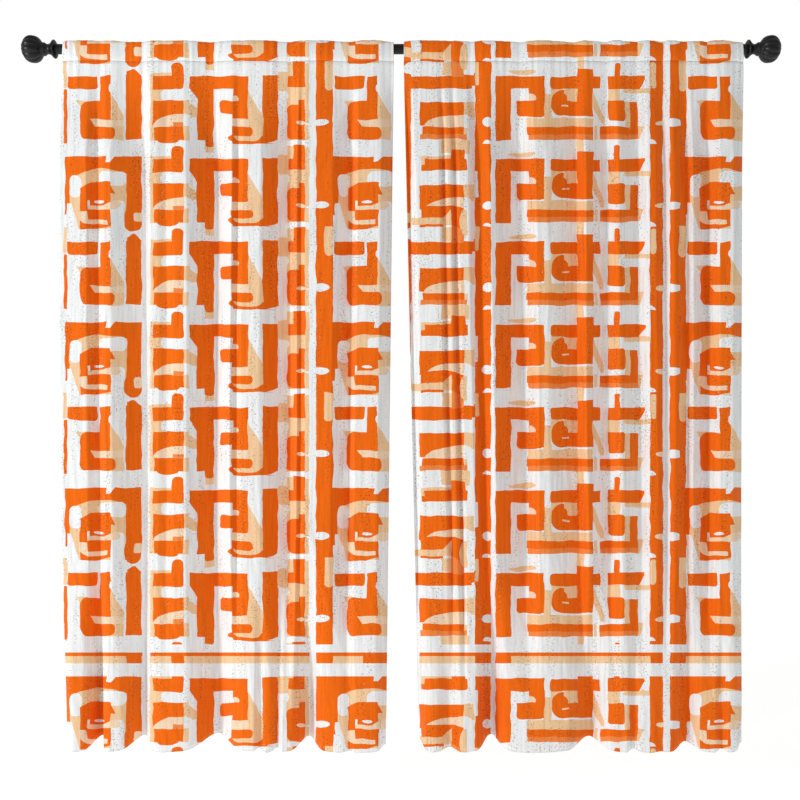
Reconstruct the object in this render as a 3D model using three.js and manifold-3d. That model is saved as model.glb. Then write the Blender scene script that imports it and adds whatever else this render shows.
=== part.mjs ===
// A pair of rod-pocket window curtains on a round telescoping rod with ribbed ball finials.
// Millimetres. The wall is the plane y = 0 and the room is on its -y side. +z is up, and z = 0 is the
// rod's axis. x = 0 is midway between the two finials.
import * as THREE from "three";
import { mergeVertices } from "three/addons/utils/BufferGeometryUtils.js";
import Module from "manifold-3d";

const wasm = await Module();
wasm.setup();

// ---- Driving dimensions ----
const rodRadius = 15; // outer radius of the two outer tubes
const tubeWall = 1;
const rodHalf = 1045; // from the middle to each tube's outer end
const rodFromWall = 85; // the rod's axis to the wall
const seamX = 150; // where the two outer tubes meet
const innerTubeEnds = [-120, 650];
const runningGap = 0.3; // between pieces that touch or run in each other

const finialBall = { radius: 41, length: 65, lobes: 10, groove: 2.6 };
const finialNeck = 38.3; // from the rod's end to the ball
const plugLength = 22;
const studRadius = 4;
const studReach = 14; // how far the finial's stud goes into the tube's plug

const bracketX = { left: -988, right: 998 }; // middle of each bracket's arm
const wallPlate = { width: 32, height: 96, thick: 4, corner: 12 };
const bracketArm = { width: 16, height: 12, middleZ: -22 };
const cradle = { clearance: 0.4, thick: 3.2 };
const wallScrew = { radius: 2, reach: 38, headRadius: 4.5, headHigh: 2.6, spacing: 68 };
const thumbScrew = { radius: 2.5, boss: 6.5, knobRadius: 7, knobHigh: 8, knobTop: -37, ridges: 14 };

const cloth = 1.2; // thickness of one layer
const layerGap = 0.3;
const panelTop = 18; // the pocket's top edge
const pocketSeamZ = -46;
const hemBottom = -2092;
const hemDepth = 76;
const columnsPerFold = 8;
const sideHemColumns = 2; // a turned side hem about 35 wide
const seamThread = 0.6;
const frontY = -rodFromWall - 21; // the pocket's front layer
const pocketBackY = -rodFromWall + 21;
const foldDepth = { top: 6, bottom: 36 }; // half of a fold, crest to middle
const foldsFullZ = -546; // the folds are fully deep from here down
const panels = {
  left: { outer: [-1018, -1008], leading: [-23, -46], folds: 7 },
  right: { outer: [1029, 1024], leading: [8, 54], folds: 7 },
}; // each edge's x at the top and at the hem
const pocketBackInset = 50; // the pocket's back layer starts this far in, past the bracket's arm

// ---- Materials ----
const black = new THREE.MeshStandardMaterial({ color: 0x1b1b1d, roughness: 0.45, metalness: 0.4 });
const steel = new THREE.MeshStandardMaterial({ color: 0x9a9a9c, roughness: 0.35, metalness: 0.9 });
const nylon = new THREE.MeshStandardMaterial({ color: 0x2b2b2b, roughness: 0.7 });
const printed = new THREE.MeshStandardMaterial({ color: 0xfb6a12, roughness: 0.9 });
const lining = new THREE.MeshStandardMaterial({ color: 0xf3efe8, roughness: 0.9 });
const thread = new THREE.MeshStandardMaterial({ color: 0xd8c4ae, roughness: 0.8 });

const curtains = new THREE.Group();

function add(name, geometry, material, place = [0, 0, 0]) {
  const mesh = new THREE.Mesh(geometry, material);
  mesh.name = name;
  mesh.position.set(...place);
  curtains.add(mesh);
  return mesh;
}

// ---- Booleans ----
function solid(geometry) {
  const bare = geometry.index ? geometry.toNonIndexed() : geometry.clone();
  for (const name of Object.keys(bare.attributes)) {
    if (name !== "position") bare.deleteAttribute(name);
  }
  const merged = mergeVertices(bare, 1e-4);
  return new wasm.Manifold(
    new wasm.Mesh({
      numProp: 3,
      vertProperties: merged.attributes.position.array,
      triVerts: new Uint32Array(merged.index.array),
    }),
  );
}

function geometryOf(made) {
  const mesh = made.getMesh();
  return new THREE.BufferGeometry()
    .setAttribute("position", new THREE.BufferAttribute(mesh.vertProperties, mesh.numProp))
    .setIndex(new THREE.BufferAttribute(mesh.triVerts, 1));
}

// ---- Round pieces: a profile of [radius, length] points turned about the x axis ----
function turned(profile, segments = 32) {
  const points = profile.map(([radius, along]) => new THREE.Vector2(radius, along));
  return new THREE.LatheGeometry(points, segments).rotateZ(-Math.PI / 2);
}

function pipe(outer, inner, from, to, segments = 32) {
  return turned(
    [
      [inner, from],
      [outer, from],
      [outer, to],
      [inner, to],
      [inner, from],
    ],
    segments,
  );
}

// ---- The telescoping rod ----
function addRod() {
  const bore = rodRadius - tubeWall;
  const innerRadius = bore - runningGap;
  const axis = [0, -rodFromWall, 0];
  const rightTubeStart = seamX + runningGap;
  add("left_rod_tube", pipe(rodRadius, bore, -rodHalf, seamX), black, axis);
  add("right_rod_tube", pipe(rodRadius, bore, rightTubeStart, rodHalf), black, axis);
  const [from, to] = innerTubeEnds;
  add("inner_rod_tube", pipe(innerRadius, innerRadius - tubeWall, from, to), black, axis);
  // A collar with a shank that sits in the inner tube's end and keeps it from rattling.
  const shank = innerRadius - tubeWall - runningGap;
  const sleeve = [
    [shank - 1.5, to - 16],
    [shank, to - 16],
    [shank, to + runningGap],
    [bore - 0.1, to + runningGap],
    [bore - 0.1, to + 5],
    [shank - 1.5, to + 5],
    [shank - 1.5, to - 16],
  ];
  add("inner_tube_sleeve", turned(sleeve), nylon, axis);
}

// A finial and its fixings are drawn pointing along +x from the tube's end, then turned for the left side.
function addFinial(side) {
  const turn = side === "left" ? Math.PI : 0;
  const at = [(side === "left" ? -1 : 1) * rodHalf, -rodFromWall, 0];
  const bore = studRadius + runningGap;
  const plugRadius = rodRadius - tubeWall - runningGap;
  const plug = pipe(plugRadius, bore, -plugLength, 0, 24);
  add(`${side}_tube_plug`, plug, nylon, at).rotation.z = turn;
  const studEnd = finialNeck + 6;
  const stud = turned(
    [
      [0, -studReach],
      [studRadius - 0.8, -studReach],
      [studRadius, 0.8 - studReach],
      [studRadius, studEnd],
      [0, studEnd],
    ],
    16,
  );
  add(`${side}_finial_stud`, stud, steel, at).rotation.z = turn;
  const body = solid(finialBody()).subtract(solid(finialSocket(bore, studEnd)));
  add(`${side}_finial`, geometryOf(body), black, at).rotation.z = turn;
}

function finialSocket(radius, end) {
  return turned(
    [
      [0, -1],
      [radius, -1],
      [radius, end + runningGap],
      [0, end + runningGap],
    ],
    16,
  );
}

// The finial: a flared lip against the rod, a waist, a small collar, and a ball with grooved lobes.
function finialBody() {
  const start = 0.4;
  const neck = [
    [15.5, start],
    [25.5, 2.2],
    [27.5, 5],
    [26, 8],
    [18.5, 15],
    [15, 21.5],
    [14.8, 25],
    [16.8, 30],
    [20, 34.5],
    [20, 36.5],
  ];
  const rings = neck.map(([radius, along]) => ({ radius, along, groove: 0 }));
  const bands = 9;
  for (let i = 1; i < bands; i += 1) {
    const angle = Math.PI * (0.15 + (0.85 * i) / bands);
    rings.push({
      radius: finialBall.radius * Math.sin(angle),
      along: finialNeck + (finialBall.length * (1 - Math.cos(angle))) / 2,
      groove: finialBall.groove * Math.sin(angle),
    });
  }
  const around = finialBall.lobes * 4;
  const lobe = (turn, depth) => depth * (1 - Math.abs(Math.sin((finialBall.lobes * turn) / 2)));
  const ends = [start, finialNeck + finialBall.length];
  return ringsAroundX(rings, around, lobe, ends);
}

// Rings about the x axis, each with a radius that a function of the angle reduces, and a point at each end.
function ringsAroundX(rings, around, reduce, ends) {
  const positions = [];
  for (const { radius, along, groove } of rings) {
    for (let j = 0; j < around; j += 1) {
      const turn = (2 * Math.PI * j) / around;
      const r = radius - reduce(turn, groove);
      positions.push(along, r * Math.cos(turn), r * Math.sin(turn));
    }
  }
  const first = rings.length * around;
  positions.push(ends[0], 0, 0, ends[1], 0, 0);
  const index = [];
  for (let j = 0; j < around; j += 1) {
    const next = (j + 1) % around;
    for (let i = 0; i + 1 < rings.length; i += 1) {
      const [a, b] = [i * around + j, i * around + next];
      const [c, d] = [a + around, b + around];
      index.push(a, b, d, a, d, c);
    }
    const last = (rings.length - 1) * around;
    index.push(first, next, j, first + 1, last + j, last + next);
  }
  return new THREE.BufferGeometry()
    .setAttribute("position", new THREE.BufferAttribute(new Float32Array(positions), 3))
    .setIndex(index);
}

// ---- Brackets ----
function roundedRectangle(width, height, corner) {
  const [w, h] = [width / 2, height / 2];
  const outline = new THREE.Shape();
  outline.moveTo(-w + corner, -h);
  outline.lineTo(w - corner, -h);
  outline.absarc(w - corner, -h + corner, corner, -Math.PI / 2, 0);
  outline.lineTo(w, h - corner);
  outline.absarc(w - corner, h - corner, corner, 0, Math.PI / 2);
  outline.lineTo(-w + corner, h);
  outline.absarc(-w + corner, h - corner, corner, Math.PI / 2, Math.PI);
  outline.lineTo(-w, -h + corner);
  outline.absarc(-w + corner, -h + corner, corner, Math.PI, 1.5 * Math.PI);
  return outline;
}

function upright(radius, from, to, segments = 16) {
  return new THREE.CylinderGeometry(radius, radius, to - from, segments)
    .rotateX(Math.PI / 2)
    .translate(0, 0, (from + to) / 2);
}

function addBracket(side) {
  const x = bracketX[side];
  const plateZ = bracketArm.middleZ;
  const screwUp = wallScrew.spacing / 2;

  // The plate's back lies on the wall.
  const outline = roundedRectangle(wallPlate.width, wallPlate.height, wallPlate.corner);
  for (const z of [-screwUp, screwUp]) {
    outline.holes.push(new THREE.Path().absarc(0, z, wallScrew.radius + runningGap, 0, 2 * Math.PI));
  }
  const plate = new THREE.ExtrudeGeometry(outline, {
    depth: wallPlate.thick,
    bevelEnabled: false,
    curveSegments: 6,
  }).rotateX(Math.PI / 2);
  add(`${side}_wall_plate`, plate, black, [x, 0, plateZ]);

  // The arm and the cradle under the rod are one casting, with a boss for the thumb screw.
  const inner = rodRadius + cradle.clearance;
  const outer = inner + cradle.thick;
  const armFrom = -wallPlate.thick - runningGap;
  const armLength = rodFromWall + armFrom + thumbScrew.boss; // to just past the thumb screw
  const { width, height, middleZ } = bracketArm;
  const bar = new THREE.BoxGeometry(width, armLength, height);
  bar.translate(0, armFrom - armLength / 2, middleZ);
  const ring = turned(
    [
      [0, -width / 2],
      [outer, -width / 2],
      [outer, width / 2],
      [0, width / 2],
    ],
    32,
  ).translate(0, -rodFromWall, 0);
  const boss = upright(thumbScrew.boss, -outer - 12, -inner - 1).translate(0, -rodFromWall, 0);
  const room = turned(
    [
      [0, -width],
      [inner, -width],
      [inner, width],
      [0, width],
    ],
    32,
  ).translate(0, -rodFromWall, 0);
  const mouth = new THREE.BoxGeometry(2 * width, 2 * outer + 2, outer + 2);
  mouth.translate(0, -rodFromWall, (outer + 2) / 2);
  const tapped = upright(thumbScrew.radius + 0.1, -outer - 14, 0).translate(0, -rodFromWall, 0);
  const arm = solid(bar)
    .add(solid(ring))
    .add(solid(boss))
    .subtract(solid(room))
    .subtract(solid(mouth))
    .subtract(solid(tapped));
  add(`${side}_bracket_arm`, geometryOf(arm), black, [x, 0, 0]);

  addThumbScrew(side, x);
  for (const [which, z] of [
    ["upper", screwUp],
    ["lower", -screwUp],
  ]) {
    addWallScrew(`${side}_${which}_wall_screw`, x, plateZ + z);
  }
}

// The thumb screw comes up through the cradle and presses on the rod from below.
function addThumbScrew(side, x) {
  const { radius, knobRadius, knobHigh, knobTop, ridges } = thumbScrew;
  const knob = new THREE.Shape();
  for (let i = 0; i < 2 * ridges; i += 1) {
    const turn = (Math.PI * i) / ridges;
    const r = i % 2 ? knobRadius : knobRadius - 0.7;
    if (i) knob.lineTo(r * Math.cos(turn), r * Math.sin(turn));
    else knob.moveTo(r * Math.cos(turn), r * Math.sin(turn));
  }
  knob.closePath();
  const head = new THREE.ExtrudeGeometry(knob, { depth: knobHigh, bevelEnabled: false });
  head.translate(0, 0, knobTop - knobHigh);
  const shank = upright(radius, knobTop - 2, -rodRadius - runningGap);
  const screw = geometryOf(solid(head).add(solid(shank)));
  add(`${side}_thumb_screw`, screw, steel, [x, -rodFromWall, 0]);
}

// A pan-head screw through the wall plate into the wall.
function addWallScrew(name, x, z) {
  const { radius, reach, headRadius, headHigh } = wallScrew;
  const face = wallPlate.thick + runningGap;
  const profile = [
    [0, -reach],
    [radius, 4 - reach],
    [radius, face],
    [headRadius, face],
    [headRadius * 0.8, face + headHigh * 0.7],
    [0, face + headHigh],
  ].map(([r, along]) => new THREE.Vector2(r, along));
  const screw = new THREE.LatheGeometry(profile, 16).rotateX(Math.PI);
  add(name, screw, steel, [x, 0, z]);
}

// ---- Cloth ----
// A folded sheet, one layer thick along y, on a grid of columns and rows.
function sheet(columns, rows, place, thick = cloth) {
  const positions = [];
  for (const back of [0, thick]) {
    for (let j = 0; j <= rows; j += 1) {
      for (let i = 0; i <= columns; i += 1) {
        const [x, y, z] = place(i / columns, j / rows);
        positions.push(x, y + back, z);
      }
    }
  }
  const at = (layer, i, j) => layer * (columns + 1) * (rows + 1) + j * (columns + 1) + i;
  const index = [];
  const quad = (a, b, c, d) => index.push(a, b, c, a, c, d);
  for (let j = 0; j < rows; j += 1) {
    for (let i = 0; i < columns; i += 1) {
      quad(at(0, i, j), at(0, i, j + 1), at(0, i + 1, j + 1), at(0, i + 1, j));
      quad(at(1, i, j), at(1, i + 1, j), at(1, i + 1, j + 1), at(1, i, j + 1));
    }
    quad(at(0, 0, j), at(1, 0, j), at(1, 0, j + 1), at(0, 0, j + 1));
    quad(at(0, columns, j), at(0, columns, j + 1), at(1, columns, j + 1), at(1, columns, j));
  }
  for (let i = 0; i < columns; i += 1) {
    quad(at(0, i, 0), at(0, i + 1, 0), at(1, i + 1, 0), at(1, i, 0));
    quad(at(0, i, rows), at(1, i, rows), at(1, i + 1, rows), at(0, i + 1, rows));
  }
  return new THREE.BufferGeometry()
    .setAttribute("position", new THREE.BufferAttribute(new Float32Array(positions), 3))
    .setIndex(index);
}

// A panel's left and right edge at a height, and the front of its cloth at a share of its width.
function edgesAt(panel, z) {
  const down = (pocketSeamZ - z) / (pocketSeamZ - hemBottom);
  const edge = ([top, bottom]) => top + (bottom - top) * down;
  return [edge(panel.outer), edge(panel.leading)].sort((a, b) => a - b);
}

function clothPoint(panel, across, z, behind) {
  const [low, high] = edgesAt(panel, z);
  const down = Math.min(1, (pocketSeamZ - z) / (pocketSeamZ - foldsFullZ));
  const depth = foldDepth.top + (foldDepth.bottom - foldDepth.top) * Math.sqrt(down);
  const wave = Math.cos(2 * Math.PI * panel.folds * across);
  return [low + (high - low) * across, frontY - wave * depth + behind, z];
}

// A layer of a panel between two of its columns, through a list of heights.
function band(panel, fromColumn, toColumn, heights, behind, thick) {
  const columns = panel.folds * columnsPerFold;
  const place = (i, j) => {
    const column = fromColumn + (toColumn - fromColumn) * i;
    return clothPoint(panel, column / columns, heights[Math.round(j * (heights.length - 1))], behind);
  };
  return sheet(toColumn - fromColumn, heights.length - 1, place, thick);
}

// The pocket's front layer goes up in front of the rod and over it; its back layer comes down behind.
function addPocket(side, panel) {
  const [low, high] = edgesAt(panel, pocketSeamZ);
  const overZ = 2; // where the front layer begins to bend over the rod
  const run = { depth: high - low, bevelEnabled: false, curveSegments: 10 };
  const alongX = (shape, from, settings) =>
    new THREE.ExtrudeGeometry(shape, settings)
      .applyMatrix4(
        new THREE.Matrix4().makeBasis(
          new THREE.Vector3(0, 1, 0),
          new THREE.Vector3(0, 0, 1),
          new THREE.Vector3(1, 0, 0),
        ),
      )
      .translate(from, 0, 0);
  const reachOver = pocketBackY - frontY;
  const front = new THREE.Shape();
  front.moveTo(frontY, pocketSeamZ);
  front.lineTo(frontY + cloth, pocketSeamZ);
  front.lineTo(frontY + cloth, overZ);
  const middle = (frontY + pocketBackY) / 2;
  const radii = [reachOver / 2, panelTop - overZ];
  const inside = radii.map((radius) => radius - cloth);
  front.absellipse(middle, overZ, inside[0], inside[1], Math.PI, 0, true);
  front.lineTo(pocketBackY, overZ);
  front.absellipse(middle, overZ, radii[0], radii[1], 0, Math.PI, false);
  front.closePath();
  add(`${side}_pocket_front`, alongX(front, low, run), printed);

  const meet = frontY + cloth + layerGap;
  const back = new THREE.Shape();
  back.moveTo(pocketBackY - cloth, overZ - layerGap);
  back.lineTo(pocketBackY - cloth - 2, -9);
  back.lineTo(meet + 21, pocketSeamZ + 15);
  back.lineTo(meet, pocketSeamZ + 1.6);
  back.lineTo(meet, pocketSeamZ);
  back.lineTo(meet + 23, pocketSeamZ + 14);
  back.lineTo(pocketBackY - 1.5, -9.5);
  back.lineTo(pocketBackY, overZ - layerGap);
  back.closePath();
  const inset = pocketBackInset;
  const from = side === "left" ? low + inset : low;
  add(`${side}_pocket_back`, alongX(back, from, { ...run, depth: high - low - inset }), lining);

  const stitch = new THREE.BoxGeometry(high - low, 0.7, 1);
  add(`${side}_pocket_seam`, stitch, thread, [
    (low + high) / 2,
    frontY - layerGap - 0.35,
    pocketSeamZ + 1,
  ]);
}

function addPanel(side) {
  const panel = panels[side];
  addPocket(side, panel);
  const columns = panel.folds * columnsPerFold;
  const upper = [pocketSeamZ - layerGap, -110, -220, -360, foldsFullZ];
  const behind = cloth + layerGap;
  const hemTop = hemBottom + hemDepth;
  add(`${side}_panel_cloth`, band(panel, 0, columns, [...upper, hemBottom], 0), printed);
  add(`${side}_bottom_hem`, band(panel, 0, columns, [hemTop, hemBottom], behind), lining);
  const seamHeights = [hemTop - 4, hemTop - 5];
  const seam = band(panel, 0, columns, seamHeights, -layerGap - seamThread, seamThread);
  add(`${side}_bottom_hem_seam`, seam, thread);

  // The two side hems are turned to the back, from below the pocket down to the bottom hem.
  const down = [...upper, hemTop + layerGap];
  const low = band(panel, 0, sideHemColumns, down, behind);
  const high = band(panel, columns - sideHemColumns, columns, down, behind);
  const [outer, leading] = side === "left" ? [low, high] : [high, low];
  add(`${side}_outer_side_hem`, outer, lining);
  add(`${side}_leading_side_hem`, leading, lining);
}

addRod();
for (const side of ["left", "right"]) {
  addFinial(side);
  addBracket(side);
  addPanel(side);
}

export default curtains;
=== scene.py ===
"""A pair of printed rod-pocket curtains on a black telescoping rod with ribbed ball finials."""

import math

import bpy
import numpy as np
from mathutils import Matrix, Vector


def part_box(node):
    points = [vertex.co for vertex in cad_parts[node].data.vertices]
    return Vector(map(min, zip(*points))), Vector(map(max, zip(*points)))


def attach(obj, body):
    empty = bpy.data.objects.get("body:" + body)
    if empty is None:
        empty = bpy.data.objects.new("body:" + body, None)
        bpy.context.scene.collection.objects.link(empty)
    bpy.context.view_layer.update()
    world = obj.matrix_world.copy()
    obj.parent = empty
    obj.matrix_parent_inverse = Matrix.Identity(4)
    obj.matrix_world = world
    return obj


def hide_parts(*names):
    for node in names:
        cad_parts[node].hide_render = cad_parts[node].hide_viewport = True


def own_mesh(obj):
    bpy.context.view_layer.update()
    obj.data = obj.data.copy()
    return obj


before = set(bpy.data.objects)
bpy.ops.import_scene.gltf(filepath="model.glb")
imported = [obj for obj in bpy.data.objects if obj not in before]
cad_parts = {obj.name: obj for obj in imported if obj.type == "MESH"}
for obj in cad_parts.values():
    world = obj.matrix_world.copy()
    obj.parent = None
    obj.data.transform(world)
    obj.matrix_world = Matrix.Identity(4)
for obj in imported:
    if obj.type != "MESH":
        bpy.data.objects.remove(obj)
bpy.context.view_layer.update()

MM = 0.001
SIDES = ("left", "right")
DRAW_TRAVEL = 0.6  # how far a leading edge slides along the rod, in metres

# ---------------------------------------------------------------- sizes, from the frame
rod_low, rod_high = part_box("left_rod_tube")
ROD_Y = (rod_low.y + rod_high.y) / 2
ROD_RADIUS = (rod_high.z - rod_low.z) / 2
SEAM_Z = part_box("left_panel_cloth")[1].z
HEM_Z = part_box("left_panel_cloth")[0].z
SEAM_SHADE_WIDTH = 1.8 * MM  # how wide the seam's line looks: the thread, and painted shade on the cloth beside it
HEM_TOP_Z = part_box("left_bottom_hem")[1].z
VIEW_AWAY = 2.8  # metres from the viewing point to the rod's plane
EYE = Vector((-3.5 * MM, ROD_Y - VIEW_AWAY, -1.063))  # level with the middle of the drop

# ---------------------------------------------------------------- shader maths


class Value:
    """A socket of a node tree, so that shader maths reads as plain expressions."""

    def __init__(self, paint, socket):
        self.paint = paint
        self.socket = socket

    def __add__(self, other):
        return self.paint.maths("ADD", self, other)

    def __radd__(self, other):
        return self.paint.maths("ADD", other, self)

    def __sub__(self, other):
        return self.paint.maths("SUBTRACT", self, other)

    def __rsub__(self, other):
        return self.paint.maths("SUBTRACT", other, self)

    def __mul__(self, other):
        return self.paint.maths("MULTIPLY", self, other)

    def __rmul__(self, other):
        return self.paint.maths("MULTIPLY", other, self)

    def __truediv__(self, other):
        return self.paint.maths("DIVIDE", self, other)

    def __mod__(self, other):
        return self.paint.maths("FLOORED_MODULO", self, other)

    def __pow__(self, other):
        return self.paint.maths("POWER", self, other)

    def __lt__(self, other):
        return self.paint.maths("LESS_THAN", self, other)

    def __gt__(self, other):
        return self.paint.maths("GREATER_THAN", self, other)

    def __and__(self, other):
        return self.paint.maths("MINIMUM", self, other)

    def __or__(self, other):
        return self.paint.maths("MAXIMUM", self, other)

    def __abs__(self):
        return self.paint.maths("ABSOLUTE", self)


class Paint:
    """One material: its tree, the nodes added to it, and its principled shader."""

    def __init__(self, name):
        self.material = bpy.data.materials.new(name)
        self.material.use_nodes = True
        self.tree = self.material.node_tree
        self.shader = self.tree.nodes["Principled BSDF"]

    def node(self, kind, settings=(), inputs=(), output=0):
        made = self.tree.nodes.new("ShaderNode" + kind)
        for name, value in dict(settings).items():
            setattr(made, name, value)
        for key, value in dict(inputs).items():
            self.feed(made.inputs[key], value)
        return Value(self, made.outputs[output])

    def feed(self, socket, value):
        if isinstance(value, Value):
            self.tree.links.new(value.socket, socket)
        else:
            socket.default_value = value

    def maths(self, operation, *values):
        return self.node("Math", {"operation": operation}, enumerate(values))

    def vector(self, operation, *values):
        output = 1 if operation in ("LENGTH", "DOT_PRODUCT", "DISTANCE") else 0
        return self.node("VectorMath", {"operation": operation}, enumerate(values), output)

    def join(self, x, y, z=0.0):
        return self.node("CombineXYZ", (), {"X": x, "Y": y, "Z": z})

    def mix(self, share, first, second, blend="MIX"):
        settings = {"data_type": "RGBA", "blend_type": blend}
        return self.node("Mix", settings, {0: share, 6: first, 7: second}, 2)

    def noise(self, place, scale, detail=2.0, roughness=0.5):
        inputs = {"Vector": place, "Scale": scale, "Detail": detail, "Roughness": roughness}
        return self.node("TexNoise", (), inputs)

    def limit(self, value, low, high, to_low=0.0, to_high=1.0):
        inputs = {"Value": value, 1: low, 2: high, 3: to_low, 4: to_high}
        return self.node("MapRange", (), inputs)

    def bump(self, height, strength, distance, normal=None):
        inputs = {"Height": height, "Strength": strength, "Distance": distance}
        if normal is not None:
            inputs["Normal"] = normal
        return self.node("Bump", (), inputs)

    def finish(self, **sockets):
        for name, value in sockets.items():
            self.feed(self.shader.inputs[name.replace("_", " ")], value)
        return self.material


# ---------------------------------------------------------------- the print's drawing
# The print is drawn on a grid of squares, 82.8 squares to a row. Across is counted from the panel's left
# edge and down from the top of a row's first bar.
SQUARE = 3.03 * MM
ROW = 82.8
FIRST_ROW_Z = -26.9 * SQUARE  # the height of row A's first bar, level with the rod's axis at 0
PRINT_START = {"left": -1.0246, "right": 0.0086}  # where the drawing's left edge falls, at the rod
BAND_TOP = 576.4
BAND_BOTTOM = 587.2
BAND_SHIFT = 22.7  # what the rows under the plain band are moved down by
ABOVE_ROW = 15.0  # a row owns this much above its first bar

WHITE = (0.89, 0.905, 0.9, 1)
ORANGE = (0.9, 0.148, 0.0015, 1)
MID_ORANGE = (0.92, 0.25, 0.055, 1)
PEACH = (0.9, 0.6, 0.34, 1)
PALE_PEACH = (0.92, 0.69, 0.48, 1)


class Drawing:
    """Flat shapes on a place in squares, painted one over another."""

    def __init__(self, paint, place, colour):
        self.paint = paint
        self.place = place
        self.colour = colour

    def block(self, left, right, top, bottom, corner=0.4):
        paint = self.paint
        middle = ((left + right) / 2, (top + bottom) / 2, 0)
        reach = ((right - left) / 2 - corner, (bottom - top) / 2 - corner, 0)
        away = paint.vector("ABSOLUTE", paint.vector("SUBTRACT", self.place, middle))
        past = paint.vector("MAXIMUM", paint.vector("SUBTRACT", away, reach), (0, 0, 0))
        return paint.vector("LENGTH", past) < corner

    def oval(self, x, y, across, down):
        paint = self.paint
        away = paint.vector("SUBTRACT", self.place, (x, y, 0))
        return paint.vector("LENGTH", paint.vector("DIVIDE", away, (across, down, 1))) < 1

    def side(self, x, y, to_right, to_bottom):
        """The half plane past a line through a point, on the side that a direction points to."""
        away = self.paint.vector("SUBTRACT", self.place, (x, y, 0))
        return self.paint.vector("DOT_PRODUCT", away, (to_right, to_bottom, 0)) > 0

    def fill(self, colour, *masks):
        mask = masks[0]
        for other in masks[1:]:
            mask = mask | other
        self.colour = self.paint.mix(mask, self.colour, colour)


def left_every_row(d):
    """The left panel's columns that repeat in every row."""
    d.fill(
        PEACH,
        d.block(87, 94, -3, 64, 0.3),
        d.block(87, 108, -3, 1, 0.3),
        d.block(94, 101, 12, 25, 0.3),
        d.block(119, 134, 24, 41, 0.3) & d.side(121, 24, -1, 1.6) | d.block(119, 126, 24, 64, 0.3),
        d.block(142, 151, -16, -6, 0.3),
        d.block(185, 200, 13, 64, 0.3) & d.side(185, 14, -1.75, 1),
        d.block(168, 200, 42, 66, 12),
        d.block(215, 225, -4, 15, 2.5),
        d.block(224, 246, -13, 64, 0.4),
    )
    d.fill(
        WHITE,
        d.block(98, 127, 14, 24.4, 4),
        d.block(242.5, 250, -20, -12, 0.3),
        d.block(214, 226, 15, 24, 4),
    )
    d.fill(
        ORANGE,
        d.block(90, 120.5, 0, 13.5, 2.5) | d.block(90, 110, 0, 13.5, 0.4),
        d.block(108.5, 120.5, -13.5, 10, 4.5),
        d.block(90, 120.5, 24.4, 50, 0.4),
        d.block(91, 120.5, 50.5, 63.5, 0.6) | d.oval(105, 63.5, 11, 3.5),
        d.block(127, 184, 0, 12.7, 0.4),
        d.block(134, 151, 0, 63.7, 0.5),
        d.block(142, 151, 60, 72, 3),
        d.block(142, 151, -20, -12, 3),
        d.block(126.5, 151, 0, 31, 0.5) & d.side(127, 12.5, 1.55, -1),
        d.block(170, 185, 0, 42.7, 0.6),
        d.block(157, 185, 24.8, 38, 3) | d.block(169, 185, 36, 42.7, 0.4),
        d.block(169.5, 215, 62, 68.5, 3) & d.side(169.5, 63.5, -0.1, 1),
        d.block(199.5, 215, -1, 64, 0.5) | d.oval(190, 62, 25, 6),
    )
    d.fill(PEACH, d.block(168.5, 200, 50, 64.5, 9), d.block(184.8, 200, 42, 60, 0.4))
    d.fill(
        ORANGE,
        d.block(168.5, 190, 51, 60, 4) | d.block(168.5, 180, 51, 60, 0.5),
        d.block(225, 242, 0, 10.8, 0.5),
        d.block(230, 242, -14, 3, 0.5),
        d.block(224, 242, 29, 63.5, 6) | d.block(236, 242, 23.5, 40, 0.6) | d.block(233, 242, 50, 63.5, 0.5),
    )
    d.fill(WHITE, d.block(79.5, 87, -20, 90, 0.3), d.block(246.3, 253, -20, 90, 0.3))
    d.fill(
        PALE_PEACH,
        d.oval(120, 51, 30, 12.5) & d.block(80, 120.5, 36, 50.7, 0.3),
        d.block(168.5, 185, 43, 50.8, 0.4),
        d.oval(238, 46.5, 4.5, 2),
        d.oval(172, 22.5, 4, 3.5) & d.block(170, 178, 18, 24.5, 0.3),
    )
    d.fill(WHITE, d.oval(120.5, 50, 13.5, 12) & d.block(120.8, 140, 36, 50, 0.3))
    d.fill(MID_ORANGE, d.block(110, 120.5, 46.5, 50.6, 0.4))
    d.fill(ORANGE, d.block(253, 270, -20, 90, 0.4))
    d.fill(WHITE, d.oval(258, 45.8, 8.5, 3.6) & d.side(249, 43, 0.14, 1) | d.oval(247, 47.5, 4.5, 1.3))


def curl(d, left):
    """Row A's curled figure, from its left edge: a dash, a hook, a round body and a foot."""
    x = left
    d.fill(
        PEACH,
        d.block(x + 12, x + 24, 24.5, 42, 0.3) & d.side(x + 12, 25, 1.4, -1),
        d.block(x + 44, x + 60, 12, 64, 0.3) & d.side(x + 45, 14, -1.7, 1),
    )
    d.fill(
        ORANGE,
        d.block(x + 3.5, x + 33.5, 0, 13, 3) | d.block(x + 3.5, x + 33.5, 0, 8, 0.5),
        d.block(x + 36, x + 46.5, -1.5, 28, 1) & d.side(x + 36, 0.5, 0.14, 1),
        d.block(x + 16, x + 46.5, 25, 63, 7.5) | d.block(x + 30, x + 46.5, 25, 63, 0.5),
        d.block(x + 17, x + 51, 50.5, 63.3, 5),
    )
    d.fill(WHITE, d.oval(x + 47.5, 12.2, 3, 4.2))
    d.fill(
        PALE_PEACH,
        d.block(x + 26, x + 60, 43.5, 50.6, 0.5) & d.side(x + 26, 43.5, 1, -0.7),
    )
    d.fill(WHITE, d.block(x + 51, x + 62, 43, 50.8, 0.5) & d.side(x + 58, 30, 1.7, -1))


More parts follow.
